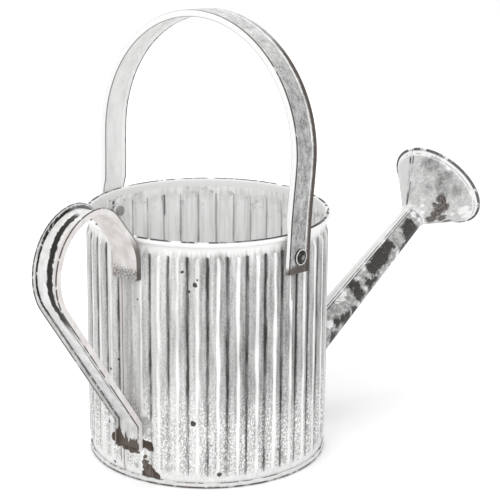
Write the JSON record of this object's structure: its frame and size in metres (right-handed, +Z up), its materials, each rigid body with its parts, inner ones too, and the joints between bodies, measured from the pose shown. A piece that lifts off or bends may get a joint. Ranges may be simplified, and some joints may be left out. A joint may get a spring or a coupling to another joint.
{
  "type": "watering can",
  "caption": "Fluted round watering can with a rolled rim, a swinging channel-strap bail, a fixed looped rear handle and a slanting tapered spout that ends in a flared sprinkler rose.",
  "frame": {"origin": "centre of the base's underside, on the axis of the can", "axes": "+Z up along the can's axis; +X towards the spout; +Y to the left of the spout, along the bail's rivet axis"},
  "size_m": [0.5488, 0.2192, 0.3716],
  "materials": {
    "body_wall": "whitewash over galvanised sheet",
    "base_floor": "whitewash over galvanised sheet",
    "base_hem": "whitewash over galvanised sheet",
    "rim_wire": "bare wire",
    "bail_strap": "mottled whitewash",
    "bail_rivet_left": "dull aged steel",
    "bail_rivet_right": "dull aged steel",
    "cup_washer_left": "dull aged steel",
    "cup_washer_right": "dull aged steel",
    "inner_washer_left": "dull aged steel",
    "inner_washer_right": "dull aged steel",
    "rear_handle": "worn whitewash",
    "spout_tube": "patchy whitewash over dark zinc",
    "neck_solder": "painted solder",
    "rose_cone": "mottled whitewash",
    "rose_face": "mottled whitewash"
  },
  "bodies": {
    "can": {"body_wall": "body_wall", "base_floor": "base_floor", "base_hem": "base_hem", "rim_wire": "rim_wire", "bail_rivet_left": "bail_rivet_left", "bail_rivet_right": "bail_rivet_right", "cup_washer_left": "cup_washer_left", "cup_washer_right": "cup_washer_right", "inner_washer_left": "inner_washer_left", "inner_washer_right": "inner_washer_right", "rear_handle": "rear_handle", "spout_tube": "spout_tube", "neck_solder": "neck_solder", "rose_cone": "rose_cone", "rose_face": "rose_face"},
    "bail": {"bail_strap": "bail_strap"}
  },
  "joints": [
    {"name": "bail_swing", "type": "hinge", "parent": "can", "child": "bail", "pos_m": [-0.008, 0, 0.1885], "axis": [0, 1, 0], "range_deg": [-72, 112]}
  ]
}
